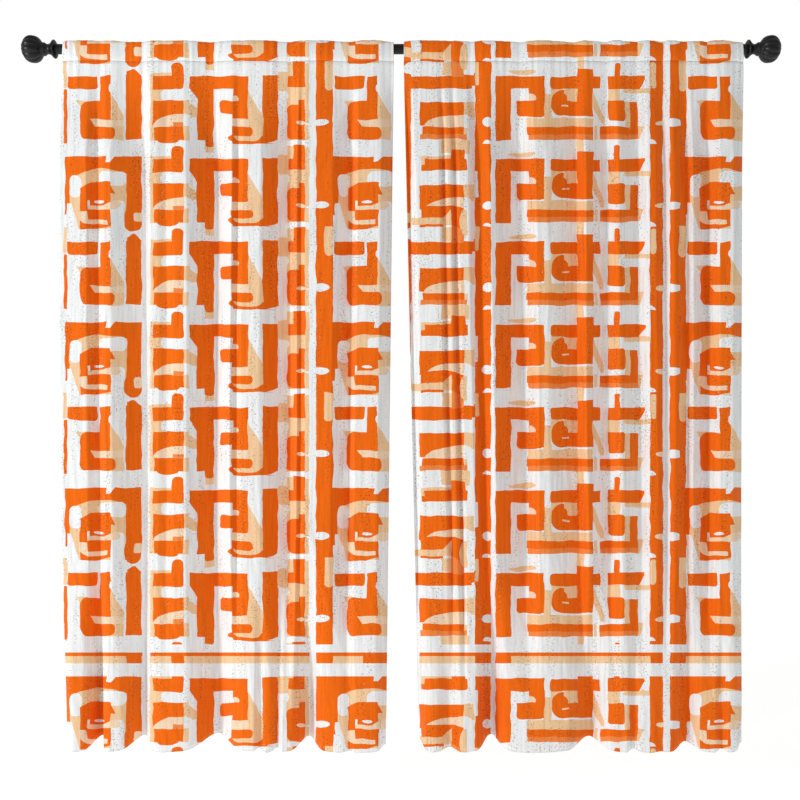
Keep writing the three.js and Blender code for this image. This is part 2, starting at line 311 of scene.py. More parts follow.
def arch(d, left, right):
    """Row B's arch: a bar over a rounded window, with a curled block inside."""
    x = left
    d.fill(ORANGE, d.block(x + 2, right, -2.3, 24, 0.5), d.block(x + 2, x + 6.8, 0, 56, 0.5))
    notch = d.side(x + 43.5, -3, 1, 0.1) & d.side(x + 52, -2.3, -1.2, -1)
    d.fill(WHITE, notch & d.block(x + 40, x + 54, -4, 3.4, 0.3))
    inside = d.block(x + 6.8, x + 63.4, 8, 74, 0.5)
    d.fill(PEACH, (d.oval(x + 39, 34, 40, 24) | d.block(x + 9, x + 63.4, 26, 72, 0.4)) & inside)
    d.fill(
        WHITE,
        d.block(x + 36, x + 63.4, 12.6, 27, 6),
        d.block(x + 6.8, x + 18.5, 15.5, 38, 5),
        d.block(x + 47.6, x + 62, 42, 80, 4),
        d.block(x + 4, x + 17.5, 44, 82, 0.4) & d.side(x + 6, 36, -3.4, 1),
        d.block(x + 6, x + 64, 70, 82, 0.4),
    )
    d.fill(
        ORANGE,
        d.block(x + 17, x + 47.6, 23, 70.5, 1.5)
        & d.side(x + 17, 29, 0.6, 1)
        & d.side(x + 47, 67.5, -0.25, -1),
        d.block(x + 44, x + 53, 24, 35, 0.3) & d.side(x + 46.5, 24, -1.9, 1),
    )
    d.fill(WHITE, d.oval(x + 36, 43, 5.2, 1.5), d.block(x + 24.3, x + 26.5, 41.5, 48, 0.4))
    d.fill(
        PALE_PEACH,
        d.block(x + 24.3, x + 48, 46.6, 50.6, 0.3),
        d.block(x + 40, x + 58, 41.5, 50.6, 6) & d.side(x + 40, 46.6, 0.45, 1),
        d.block(x + 24, x + 44.5, 61, 65.6, 0.8),
        d.oval(x + 26, 54, 11.5, 11.6)
        & d.side(x + 24.4, 60, -1, 0.1)
        & d.side(x + 30.5, 53, -1, 0)
        & d.block(x + 16, x + 25, 52, 66, 0.3),
    )


def right_every_row(d):
    """The right panel's columns that repeat in every row."""
    d.fill(
        PEACH,
        d.block(60, 70.5, 25.5, 42, 0.4),
        d.block(60, 63.5, 44, 64, 0.3),
        d.block(37, 66, 63.5, 69, 0.5),
        d.block(37, 66, -16, -5, 0.5),
        d.block(140, 147.5, 18, 52, 0.3),
        d.block(123, 189, 42, 51, 0.4),
        d.block(147, 159, 12, 25, 0.4),
        d.block(173, 180, 63, 69, 0.4),
        d.block(173, 180, -16, -7, 0.4),
        d.block(189, 200, 15, 48, 0.3) & d.side(189.5, 15, -2.6, 1) & d.side(190, 33, 2.2, -1),
        d.block(204, 216, 12, 25, 0.4),
        d.block(220, 247, 12, 17, 1.5),
        d.block(221, 226.5, 26, 52, 0.4),
        d.block(190.5, 193.5, 50, 63, 0.3),
        d.block(234, 240, 50, 63, 0.3) & d.side(240, 50, -3, -1),
        d.oval(118, -5, 14, 3.5) & d.side(104, -5, 0.1, 1),
    )
    d.fill(
        ORANGE,
        d.block(0, 7, -20, 90, 0.4),
        d.block(15.5, 60, 26, 50, 0.4),
        d.block(91.5, 107, 0, 64, 0.4),
        d.block(91.5, 140, 0, 12.7, 0.4),
        d.block(125, 140.3, 0, 43, 0.6) & d.side(125, 40.5, -0.12, -1) | d.block(125, 140.3, 0, 40, 0.4),
        d.block(112.5, 140, 24.7, 41, 4) | d.block(112.5, 140, 24.7, 34, 0.4),
        d.block(146.5, 173, 0.7, 12.7, 2.5) | d.block(160, 196, 0.5, 12.5, 0.4),
        d.block(147.5, 189, 14, 40, 11) | d.block(160, 189, 10, 40, 0.4),
        d.block(173, 189, -7, 12, 0.5),
        d.block(204, 241, 0, 12.7, 0.5) & d.side(241, 3, -1.6, -1),
        d.block(210.5, 216, -13.5, 3, 2),
        d.block(204, 221, 24.5, 45.5, 3) | d.block(204, 215, 24.5, 42, 0.4),
        d.block(226, 234, 26, 60, 0.4),
    )
    d.fill(WHITE, d.block(7, 15.5, -20, 90, 0.3), d.block(107.3, 112.4, 13, 64, 0.3))
    d.fill(PEACH, d.block(160, 173.3, 12.6, 25, 0.4))
    d.fill(ORANGE, d.block(152, 163.5, 18, 31, 5) & d.block(150, 163.5, 14, 34, 0.3))
    d.fill(
        PALE_PEACH,
        d.oval(62, 51.5, 42, 13.2) & d.block(16, 60.3, 36, 50.8, 0.3),
        d.oval(126, 22.5, 6, 4.5) & d.block(125.2, 132, 17, 24.6, 0.3),
        d.block(158, 165, 29.5, 31, 0.4),
    )
    d.fill(WHITE, d.oval(60, 52, 12, 14) & d.block(60.3, 75, 36, 52, 0.3))
    d.fill(
        ORANGE,
        d.block(18.5, 60, 51, 58.6, 0.4),
        d.block(123, 189.5, 51, 58.6, 0.4),
        d.block(196, 234, 51, 58.6, 0.4),
    )
    d.fill(
        MID_ORANGE,
        d.block(16, 63.5, 58.3, 63.2, 0.4),
        d.block(124, 189.5, 58.3, 63.5, 1),
        d.block(196, 234, 58.3, 63.2, 0.4),
    )
    uprights = [(71, 87), (246, 259), (266, 282)]
    d.fill(ORANGE, *[d.block(*upright, -20, 90, 0.4) for upright in uprights])
    d.fill(WHITE, d.oval(83.5, 46, 5.5, 4.4), d.oval(83.5, 70, 5.5, 6))
    d.fill(WHITE, d.block(87, 91.5, -20, 90, 0.3), d.block(259, 266, -20, 90, 0.3))
    d.fill(PALE_PEACH, d.oval(258.5, 46.5, 7, 2.6) & d.block(250, 259.2, 40, 53, 0.3))
    d.fill(WHITE, d.oval(268, 46.5, 11, 4.2) & d.block(265.8, 276, 40, 53, 0.3) | d.oval(245, 68, 7, 5))


def right_row_a(d):
    d.fill(ORANGE, d.block(0, 68, 0, 12.7, 0.5) | d.block(50, 72, -3.5, 10, 3))
    d.fill(PEACH, d.block(71, 75, -14, 9, 1.5))
    d.fill(PEACH, d.block(246.5, 252, -13, 12, 2.5), d.block(275, 282.3, -21, 15, 4))
    d.fill(WHITE, d.block(0, 7, -12, -2.5, 3.3))


def right_row_b(d):
    d.fill(WHITE, d.block(7, 70, 60.5, 82, 0.3), d.block(60, 64, 44, 82, 0.3))
    d.fill(
        ORANGE,
        d.block(17.2, 63.3, 0, 11.5, 1.5),
        d.block(47, 61.5, -9, 6, 1),
        d.block(17, 60, 47, 60, 0.4) & d.side(60, 50, -0.3, 1),
        d.block(47.4, 60, 50, 84, 0.4),
    )
    d.fill(MID_ORANGE, d.block(47.4, 60, 66, 84, 0.4) & d.side(47.4, 66, -0.5, 1))
    d.fill(
        PEACH,
        d.block(38, 47.4, 50, 66.3, 0.3) & d.side(38, 60, 1, 1) | d.block(8, 47.4, 59, 66.3, 0.3),
        d.block(0, 8, 54.4, 64, 0.4),
        d.block(38, 47.4, 68.5, 82, 0.4),
        d.oval(61.5, 64, 6, 13) & d.block(50, 63.3, 50, 80, 0.3),
        d.block(17, 20.5, -2.5, 6, 0.3),
        d.block(20, 47, -2.7, 0.1, 0.2),
    )
    d.fill(ORANGE, d.block(16, 40, 65.8, 68.3, 0.4))
    d.fill(WHITE, d.block(1.5, 38.5, 68.4, 80.8, 6), d.block(70.2, 74, 12, 38, 1.8))


def print_colour(paint, side):
    """The printed cloth's colour, and the place on the cloth in squares."""
    spot = paint.node("UVMap", {"uv_map": "Print"})
    squares = paint.vector("SCALE", spot)
    squares.socket.node.inputs["Scale"].default_value = 1 / SQUARE
    split = paint.node("SeparateXYZ", (), {0: squares})
    across = split
    up = Value(paint, split.socket.node.outputs[1])
    across = across - PRINT_START[side] / SQUARE
    down = FIRST_ROW_Z / SQUARE - up
    shifted = down - (down > (BAND_TOP + BAND_BOTTOM) / 2) * BAND_SHIFT

    spot = paint.join(across, down)
    wobble = paint.node("TexNoise", (), {"Vector": spot, "Scale": 0.055, "Detail": 1.5, "Roughness": 0.5}, 1)
    apart = paint.vector("MULTIPLY", paint.vector("SUBTRACT", wobble, (0.5, 0.5, 0.5)), (4.0, 4.5, 0))
    moved = paint.node("SeparateXYZ", (), {0: apart})
    across = across + moved
    shifted = shifted + Value(paint, moved.socket.node.outputs[1])

    def rows(pitch, offset=0.0):
        return paint.join(across, (shifted + (ABOVE_ROW + offset)) % pitch - ABOVE_ROW)

    every = Drawing(paint, rows(ROW), WHITE)
    (left_every_row if side == "left" else right_every_row)(every)
    row_a = Drawing(paint, rows(2 * ROW), every.colour)
    row_b = Drawing(paint, rows(2 * ROW, ROW), row_a.colour)
    if side == "left":
        post = row_a.block(63, 78.5, -7, 63, 0.5) & row_a.side(72, -7, -0.9, 1) & row_a.side(69, -7, 0.55, 1)
        row_a.fill(ORANGE, post, row_a.block(0.8, 4.3, 13, 67, 1.5))
        row_a.fill(PEACH, row_a.block(0.5, 4, -16, 12, 0.3))
        row_a.fill(PEACH, row_a.block(261.5, 270.2, -21, 14, 4))
        curl(row_a, 1)
        curl(row_a, 268)
        row_b.colour = row_a.colour
        arch(row_b, 0, 78)
        arch(row_b, 268, 332)
        row_b.fill(ORANGE, row_b.block(63.4, 78.6, -2, 64, 0.5), row_b.block(61.6, 78.6, 50, 73.5, 8))
        row_b.fill(PALE_PEACH, row_b.block(71, 79, 53.5, 63.5, 2.5) & row_b.side(71, 53, 0.5, 1))
        stripes = [(79.5, 87), (246.3, 253)]
        bars = [(63, 78.5), (108, 121), (253, 270), (300, 334)]
    else:
        right_row_a(row_a)
        curl(row_a, 280)
        row_b.colour = row_a.colour
        right_row_b(row_b)
        arch(row_b, 279, 340)
        stripes = [(7, 15.5), (87, 91.5), (259, 266)]
        bars = [(71, 87), (91.5, 107), (246, 259), (266, 282)]
    whole = Drawing(paint, paint.join(across, down), row_b.colour)
    whole.fill(WHITE, whole.block(-9, 400, BAND_TOP - 8, BAND_BOTTOM + 13, 0.4))
    whole.fill(PEACH, whole.block(-9, 400, BAND_TOP, BAND_BOTTOM, 0.4))
    whole.fill(ORANGE, whole.block(-9, 400, BAND_TOP, BAND_TOP + 3.6, 0.4))
    whole.fill(ORANGE, *[whole.block(*bar, BAND_TOP, BAND_BOTTOM, 0.6) for bar in bars])
    whole.fill(WHITE, *[whole.block(*stripe, BAND_TOP - 1, BAND_BOTTOM + 1, 0.3) for stripe in stripes])
    return whole.colour, squares


# ---------------------------------------------------------------- materials
def weave(paint, squares):
    """Height of the threads: vertical slubs over a plain weave. One square is three millimetres."""
    split = paint.node("SeparateXYZ", (), {0: squares})
    up = Value(paint, split.socket.node.outputs[1])
    slub = paint.noise(paint.join(split * 3.1, up * 0.05), 1.0, 3.0, 0.6)
    turns = 2 * math.pi * 3.1
    threads = paint.maths("SINE", split * turns) * paint.maths("SINE", up * turns)
    return slub, threads


def printed_cloth(side):
    paint = Paint(f"{side} printed cloth")
    colour, squares = print_colour(paint, side)
    slub, threads = weave(paint, squares)
    colour = paint.mix(paint.limit(slub, 0.35, 0.62), colour, (0.91, 0.92, 0.925, 1), "MULTIPLY")
    brushed = paint.noise(paint.vector("MULTIPLY", squares, (0.42, 0.02, 1)), 1.0, 3.0)
    colour = paint.mix(paint.limit(brushed, 0.45, 0.65), colour, (0.88, 0.89, 0.895, 1), "MULTIPLY")
    streak = paint.noise(paint.vector("MULTIPLY", squares, (0.09, 0.012, 1)), 1.0, 2.0)
    patch = paint.limit(streak, 0.48, 0.6, 0.67, 0.58)
    speck = paint.noise(squares, 0.55, 2.0, 0.75) > patch
    colour = paint.mix(speck * 0.6, colour, (0.3, 0.27, 0.26, 1), "MULTIPLY")
    bare = paint.noise(paint.vector("ADD", squares, (40, 70, 0)), 0.5, 2.0, 0.75) > (patch + 0.07)
    colour = paint.mix(bare * 0.25, colour, PALE_PEACH)
    # A thin band of cloth along the seam is darkened: painted shade, standing for the shadow in the seam's
    # dent.
    place = paint.node("SeparateXYZ", (), {0: paint.node("TexCoord", (), (), 3)})
    above_seam = Value(paint, place.socket.node.outputs[2]) - SEAM_Z
    seam_shade = abs(above_seam) < SEAM_SHADE_WIDTH / 2
    colour = paint.mix(seam_shade * 0.55, colour, (0.42, 0.4, 0.39, 1), "MULTIPLY")
    height = slub * 0.6 + threads * 0.16
    paint.finish(
        Base_Color=colour,
        Roughness=paint.limit(slub, 0.3, 0.7, 0.92, 0.8),
        Normal=paint.bump(height, 0.5, 0.5 * MM),
        Specular_IOR_Level=0.15,
        Sheen_Weight=0.04,
        Sheen_Roughness=0.5,
    )
    return paint.material


def cloth_back(side):
    """The print's reverse: near white, with the print showing through faintly."""
    paint = Paint(f"{side} cloth reverse")
    colour, squares = print_colour(paint, side)
    slub, threads = weave(paint, squares)
    colour = paint.mix(0.72, colour, (0.9, 0.87, 0.82, 1))
    paint.finish(
        Base_Color=colour,
        Roughness=0.92,
        Normal=paint.bump(slub * 0.6 + threads * 0.16, 0.5, 0.5 * MM),
        Specular_IOR_Level=0.2,
    )
    return paint.material


def powder_coat(name, colour, roughness, grain=1400.0, worn=0.0):
    """Black coated metal or resin, with a fine orange-peel surface and a little bare edge."""
    paint = Paint(name)
    place = paint.node("TexCoord", (), (), 3)
    fine = paint.noise(place, grain, 2.0)
    cloudy = paint.noise(place, 18.0, 3.0)
    tone = paint.limit(cloudy, 0.3, 0.7)
    light = tuple(c * 1.8 + 0.002 for c in colour[:3]) + (1,)
    base = paint.mix(tone * 0.6, colour, light)
    if worn:
        edge = paint.node("NewGeometry", (), (), 7)
        rub = paint.limit(edge, 0.52, 0.6) * paint.limit(cloudy, 0.45, 0.6)
        base = paint.mix(rub * worn, base, (0.09, 0.075, 0.06, 1))
    paint.finish(
        Base_Color=base,
        Roughness=paint.limit(cloudy, 0.3, 0.7, roughness - 0.06, roughness + 0.08),
        Metallic=0.0,
        Normal=paint.bump(fine, 0.18, 0.15 * MM),
        Specular_IOR_Level=0.28,
    )
    return paint.material


def plain_metal(name, colour, roughness):
    paint = Paint(name)
    place = paint.node("TexCoord", (), (), 3)
    brushed = paint.noise(paint.vector("MULTIPLY", place, (900, 900, 60)), 1.0, 2.0)
    paint.finish(
        Base_Color=paint.mix(brushed, colour, tuple(c * 1.3 for c in colour[:3]) + (1,)),
        Metallic=1.0,
        Roughness=paint.limit(brushed, 0.3, 0.7, roughness - 0.06, roughness + 0.1),
        Normal=paint.bump(brushed, 0.1, 0.1 * MM),
    )
    return paint.material


def moulded_nylon():
    paint = Paint("black nylon")
    place = paint.node("TexCoord", (), (), 3)
    fine = paint.noise(place, 900.0, 2.0)
    paint.finish(
        Base_Color=paint.mix(fine, (0.02, 0.02, 0.021, 1), (0.035, 0.035, 0.036, 1)),
        Roughness=paint.limit(fine, 0.3, 0.7, 0.5, 0.65),
        Normal=paint.bump(fine, 0.2, 0.2 * MM),
    )
    return paint.material


def thread_cotton():
    paint = Paint("sewing thread")
    place = paint.node("TexCoord", (), (), 3)
    twist = paint.noise(paint.vector("MULTIPLY", place, (2600, 1200, 1200)), 1.0, 1.0)
    paint.finish(
        # Dark brown thread: partly the thread's colour, partly painted shade, darkened so the pocket seam
        # reads as a shadow line.
        Base_Color=paint.mix(twist, (0.1, 0.085, 0.075, 1), (0.2, 0.17, 0.15, 1)),
        Roughness=0.75,
        Normal=paint.bump(twist, 0.4, 0.1 * MM),
    )
    return paint.material


PRINTED = {side: printed_cloth(side) for side in SIDES}
REVERSE = {side: cloth_back(side) for side in SIDES}
COATED = powder_coat("black coated steel", (0.004, 0.004, 0.0043, 1), 0.4)
RESIN = powder_coat("black finial resin", (0.003, 0.003, 0.0033, 1), 0.32, grain=700.0, worn=0.25)
STEEL = plain_metal("zinc-plated steel", (0.42, 0.42, 0.43, 1), 0.32)
NYLON = moulded_nylon()
THREAD = thread_cotton()


# ---------------------------------------------------------------- mesh helpers
def piece(name, vertices, faces, materials, body, smooth=True):
    mesh = bpy.data.meshes.new(name)
    mesh.from_pydata([tuple(v) for v in vertices], [], faces)
    mesh.update()
    for material in materials:
        mesh.materials.append(material)
    made = bpy.data.objects.new(name, mesh)
    bpy.context.scene.collection.objects.link(made)
    if smooth:
        mesh.shade_smooth()
    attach(made, body)
    return made


def apply_modifiers(made):
    """Turns a piece's modifiers into its mesh."""
    bpy.context.view_layer.update()
    shape = made.evaluated_get(bpy.context.evaluated_depsgraph_get())
    done = bpy.data.meshes.new_from_object(shape)
    made.modifiers.clear()
    made.data = done


def grid_faces(rows, columns):
    """Quads of a grid that holds rows of columns points each."""
    at = np.arange(rows * columns).reshape(rows, columns)
    quads = [at[:-1, :-1], at[1:, :-1], at[1:, 1:], at[:-1, 1:]]
    return np.stack([q.ravel() for q in quads], axis=1).tolist()


# ---------------------------------------------------------------- how the cloth hangs
# A panel's folds, as valleys between broad crests: the middle, the reach to its left and right, each as a
# share of the panel's width, and the depth as a share of a full fold. Light comes from the left, and the long
# slopes face right.
FOLDS = {
    "left": {
        "top": [(0.0, 0.012, 0.042, 0.45), (0.113, 0.042, 0.03, 0.3), (0.186, 0.06, 0.079, 0.7),
                (0.309, 0.042, 0.048, 0.25), (0.427, 0.066, 0.073, 0.7), (0.536, 0.015, 0.018, 0.2),
                (0.681, 0.066, 0.042, 0.6), (0.847, 0.06, 0.06, 0.85), (0.995, 0.042, 0.012, 0.8)],
        "middle": [(0.107, 0.028, 0.025, 0.35), (0.242, 0.089, 0.031, 0.92), (0.319, 0.025, 0.025, 0.12),
                (0.46, 0.08, 0.055, 0.9), (0.531, 0.015, 0.018, 0.2), (0.69, 0.086, 0.028, 0.75),
                (0.724, 0.012, 0.015, 0.25), (0.877, 0.055, 0.018, 0.55), (1.003, 0.037, 0.012, 0.6)],
        "hem": [(0.0, 0.013, 0.022, 0.4), (0.097, 0.044, 0.031, 1.0), (0.234, 0.069, 0.041, 1.0),
                (0.459, 0.091, 0.103, 1.1), (0.606, 0.025, 0.022, 0.3), (0.662, 0.022, 0.022, 0.3),
                (0.756, 0.056, 0.056, 0.95), (0.887, 0.031, 0.019, 0.12), (1.0, 0.031, 0.013, 0.5)],
    },
    "right": {
        "top": [(0.0, 0.009, 0.035, 0.6), (0.128, 0.014, 0.012, 0.3), (0.192, 0.065, 0.041, 0.7),
                (0.254, 0.024, 0.024, 0.2), (0.354, 0.082, 0.047, 0.5), (0.501, 0.071, 0.035, 0.85),
                (0.596, 0.053, 0.024, 0.6), (0.684, 0.059, 0.029, 0.55), (0.761, 0.041, 0.024, 0.6),
                (0.846, 0.053, 0.024, 0.6), (0.896, 0.029, 0.018, 0.3), (0.999, 0.059, 0.009, 0.8)],
        "middle": [(0.006, 0.015, 0.021, 0.35), (0.109, 0.013, 0.01, 0.27), (0.142, 0.013, 0.01, 0.28),
                (0.208, 0.027, 0.036, 0.45), (0.341, 0.097, 0.036, 0.88), (0.456, 0.015, 0.012, 0.15),
                (0.505, 0.097, 0.018, 0.6), (0.595, 0.073, 0.024, 0.64), (0.686, 0.06, 0.024, 0.5),
                (0.761, 0.03, 0.018, 0.35), (0.828, 0.042, 0.018, 0.45), (0.894, 0.066, 0.024, 0.68),
                (1.0, 0.042, 0.009, 0.7)],
        "hem": [(-0.002, 0.012, 0.028, 0.9), (0.094, 0.047, 0.04, 0.35), (0.227, 0.056, 0.053, 1.05),
                (0.445, 0.031, 0.025, 0.12), (0.531, 0.093, 0.068, 0.95), (0.659, 0.025, 0.028, 0.25),
                (0.742, 0.031, 0.025, 0.1), (0.826, 0.059, 0.05, 0.65), (0.926, 0.025, 0.022, 0.25),
                (1.0, 0.037, 0.012, 0.6)],
    },
}
# The x of each panel's left and right edge at the pocket and at the hem, in from its CAD box's sides.
EDGE_LEAN = {"left": ((2, 18), (0, -23)), "right": ((0, 46), (0, -5))}
POCKET_LINE_Y = ROD_Y - ROD_RADIUS - 2.2 * MM
POCKET_BACK_Y = ROD_Y + ROD_RADIUS + 5.5 * MM
POCKET_DEPTH = 15 * MM  # how far the pocket's gathers stand out
FOLD_DEPTH = 72 * MM
FOLD_BACK = 27 * MM  # how far a full valley lies behind the pocket's front
HEM_RISE = 28 * MM  # how much higher the hem is in a full valley
HEM_SAG = 17 * MM  # how much lower it is on a crest
DEEP_BY = 0.17  # the share of the drop by which the folds are full
CLOTH = 0.5 * MM
TURNED_CLOTH = 0.3 * MM
TURNED_BACK = 2.6 * MM  # how far a side hem's outer face lies behind the panel's front
HEM_BACK = 3.4 * MM  # the bottom hem's, which covers the side hems' ends
COLUMNS = 340
ROWS = 170
OVER_ROWS = 12


def smooth_step(value):
    value = np.clip(value, 0, 1)
    return value * value * (3 - 2 * value)


def crest(across, folds, round_share=0.25):
    """1 on a crest, less in the valleys, at each share of the width. Folds are flat-sided or rounded."""
    total = np.zeros_like(across)
    for middle, left, right, depth in folds:
        reach = np.where(across < middle, left, right)
        near = 1 - np.minimum(np.abs(across - middle) / reach, 1)
        lobe = (1 - round_share) * near + round_share * smooth_step(near)
        if round_share == 1.0:
            wide = 1 - np.minimum(np.abs(across - middle) / reach / 2, 1)
            lobe = 0.8 * lobe**1.35 + 0.2 * smooth_step(wide)
        total = np.maximum(total, depth * lobe)
    return 1 - total


def pocket_crest(side, across):
    folds = FOLDS[side]
    return (crest(across, folds["top"]) + crest(across, folds["middle"])) / 2


def ripples(across, seed):
    """Small uneven gathers, as a sum of waves with fixed phases."""
    rng = np.random.default_rng(seed)
    total = np.zeros_like(across)
    for count in (13, 19, 29, 37, 49):
        total += np.sin(2 * math.pi * (count * across + rng.random())) / 5
    return total


def hang(side, across, down, behind=0.0):
    """Points of the cloth below the pocket, at shares of the width and of the drop."""
    low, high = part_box(f"{side}_panel_cloth")
    (left_top, left_hem), (right_top, right_hem) = EDGE_LEAN[side]
    left = low.x + (left_top + (left_hem - left_top) * down) * MM
    right = high.x + (right_top + (right_hem - right_top) * down) * MM
    top = pocket_crest(side, across)
    hem = crest(across, FOLDS[side]["hem"], 1.0)
    share = smooth_step(down / DEEP_BY)
    late = smooth_step((down - 0.7) / 0.28)
    full = crest(across, FOLDS[side]["middle"]) * (1 - late) + hem * late
    fold_out = full * FOLD_DEPTH - FOLD_BACK
    out = top * POCKET_DEPTH * (1 - share) + fold_out * share
    drop = SEAM_Z - HEM_Z
    fade = np.exp(-down * drop / (110 * MM))
    out = out + ripples(across, 3) * 1.9 * MM * fade
    out = out + ripples(across + 0.3 * np.sin(3 * down), 5) * 1.0 * MM * (1 - fade)
    sway = 2.5 * MM * np.sin(2 * math.pi * (1.3 * down + 2.1 * across)) * share
    dent = 3.0 * MM * np.exp(-((down * drop / (5 * MM)) ** 2))
    x = left + (right - left) * across + sway * np.sin(math.pi * across)
    y = POCKET_LINE_Y - out + dent + behind
    z = SEAM_Z + (HEM_Z - SEAM_Z) * down + (HEM_RISE * (1 - hem) - HEM_SAG) * down**3
    return np.stack([x, y, z], axis=-1)


def over_the_rod(side, across, turn):
    """Points of the pocket above the rod's height: over the rod, as turn goes from 0 to 1."""
    foot = hang(side, across, np.zeros_like(across))
    top = pocket_crest(side, across)
    gather = ripples(across, 3) * 1.9 * MM
    front = foot[..., 1] - 2.2 * MM
    back = POCKET_BACK_Y + (1 - top) * 3 * MM + gather * 0.3
    rise = ROD_RADIUS + 2.0 * MM + top * 4.5 * MM + gather * 0.35
    angle = math.pi * (1 - turn)
    y = (front + back) / 2 + (back - front) / 2 * np.sign(np.cos(angle)) * np.abs(np.cos(angle)) ** 0.8
    z = rise * np.sin(angle) ** 0.8
    return np.stack([foot[..., 0], y, z], axis=-1)


def print_places(points, beyond=0.0):
    """Where the print falls on points: it keeps its shape as seen from the front."""
    nearer = (ROD_Y - EYE.y) / (points[..., 1] - EYE.y)
    u = EYE.x + (points[..., 0] - EYE.x) * nearer
    v = EYE.z + (points[..., 2] - EYE.z) * nearer
    return np.stack([u, v + beyond], axis=-1)


def cloth_piece(name, side, points, places, body, flip=False, thick=CLOTH):
    """A sheet from a grid of points, with the print on its front and the reverse behind."""
    rows, columns = points.shape[:2]
    faces = grid_faces(rows, columns)
    if flip:
        faces = [face[::-1] for face in faces]
    materials = [PRINTED[side], REVERSE[side]]
    made = piece(name, points.reshape(-1, 3), faces, materials, body)
    layer = made.data.uv_layers.new(name="Print")
    corners = np.zeros(len(made.data.loops), dtype=np.int32)
    made.data.loops.foreach_get("vertex_index", corners)
    layer.data.foreach_set("uv", places.reshape(-1, 2)[corners].astype(np.float32).ravel())
    thicken = made.modifiers.new("cloth", "SOLIDIFY")
    thicken.thickness = thick
    thicken.offset = -1
    thicken.material_offset = 1
    thicken.material_offset_rim = 0
    apply_modifiers(made)
    return made


def spread(low, high, count):
    return np.linspace(low, high, count)


def share_of_drop(z):
    return (SEAM_Z - z) / (SEAM_Z - HEM_Z)


# The rows of the hanging cloth, as shares of the drop: close together under the pocket's seam.
NEAR_SEAM = np.array([0, 1.5, 3.5, 6, 10, 16, 24, 34]) * MM / (SEAM_Z - HEM_Z)
DOWN = np.concatenate([NEAR_SEAM, spread(46 * MM / (SEAM_Z - HEM_Z), 1, ROWS)])


def rolled(front, behind, turns=5):
    """The turned edge between a row of points and a row behind it, bulging by half their distance."""
    middle = (front + behind) / 2
    half = (behind - front) / 2
    out = np.zeros_like(half)
    out[..., 2] = -np.linalg.norm(half, axis=-1)
    rows = []
    for step in range(1, turns):
        angle = math.pi * step / turns
        rows.append(middle - half * math.cos(angle) + out * math.sin(angle))
    return rows


def gathered(made, side):
    """Gives a piece its own copy of its mesh. How much of the cloth stays spread as the curtain opens is
    worked out, but not used.
    """
    low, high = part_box(f"{side}_panel_cloth")
    back_low, back_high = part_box(f"{side}_pocket_back")
    fixed, leading = (back_low.x, high.x) if side == "left" else (back_high.x, low.x)
    keep = 1 - DRAW_TRAVEL / abs(leading - fixed)
    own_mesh(made)


def curtain(side):
    """The whole front layer: up from the hem, in front of the rod and over it."""
    across, down = np.meshgrid(spread(0, 1, COLUMNS), DOWN[::-1])
    body = hang(side, across, down)
    seam = body[-1]
    level = over_the_rod(side, across[0], np.zeros(COLUMNS))
    front = []
    for share in (0.04, 0.1, 0.2, 0.36, 0.56, 0.78):
        row = seam + (level - seam) * share
        row[:, 1] -= 3.0 * MM * math.sin(math.pi * share**0.6) + 1.6 * MM * min(1, share * 6)
        front.append(row)
    over = [over_the_rod(side, across[0], np.full(COLUMNS, turn)) for turn in spread(0, 1, OVER_ROWS)]
    points = np.concatenate([body, np.stack(front + over)])
    places = print_places(points)
    # Over the rod the print goes on by the length of cloth.
    start = len(body) + len(front)
    steps = np.linalg.norm(np.diff(points[start:], axis=0), axis=-1)
    places[start + 1 :, :, 1] = places[start, :, 1] + np.cumsum(steps, axis=0)
    places[start + 1 :, :, 0] = places[start, :, 0]
    made = cloth_piece(f"{side}_curtain", side, points, places, "rod_and_brackets", flip=True)
    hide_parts(f"{side}_panel_cloth", f"{side}_pocket_front")
    return made


def pocket_back(side):
    """The pocket's back layer: down behind the rod, and forward to the seam."""
    low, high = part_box(f"{side}_pocket_back")
    panel_low, panel_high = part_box(f"{side}_panel_cloth")
    ends = [(x - panel_low.x) / (panel_high.x - panel_low.x) for x in (low.x, high.x)]
    across = spread(ends[0], ends[1], COLUMNS - 20)
    top = over_the_rod(side, across, np.ones_like(across))
    seam = hang(side, across, np.zeros_like(across), 0.9 * MM)
    rows = []
    for share in spread(0, 1, 12):
        row = top + (seam - top) * share
        row[:, 1] = top[:, 1] + (seam[:, 1] - top[:, 1]) * smooth_step((share - 0.25) / 0.75)
        rows.append(row)
    tail = hang(side, across, np.full_like(across, share_of_drop(SEAM_Z - 5 * MM)), 0.9 * MM)
    points = np.stack(rows + [tail])
    places = print_places(points)
    made = cloth_piece(f"{side}_pocket_back_layer", side, points, places, "rod_and_brackets", flip=True)
    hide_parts(f"{side}_pocket_back")
    return made


def bottom_hem(side):
    """The bottom hem: the cloth turned up behind itself, with its rolled lower edge."""
    across = spread(0.002, 0.998, COLUMNS)
    top = share_of_drop(HEM_TOP_Z)
    rows = [hang(side, across, np.full_like(across, down), HEM_BACK) for down in spread(top, 0.9995, 10)]
    front = hang(side, across, np.full_like(across, 0.9995), -0.1 * MM)
    points = np.stack(rows + rolled(front, rows[-1])[::-1] + [front])
    places = print_places(points)
    made = cloth_piece(f"{side}_hem", side, points, places, "rod_and_brackets", flip=True, thick=TURNED_CLOTH)
    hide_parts(f"{side}_bottom_hem")
    return made


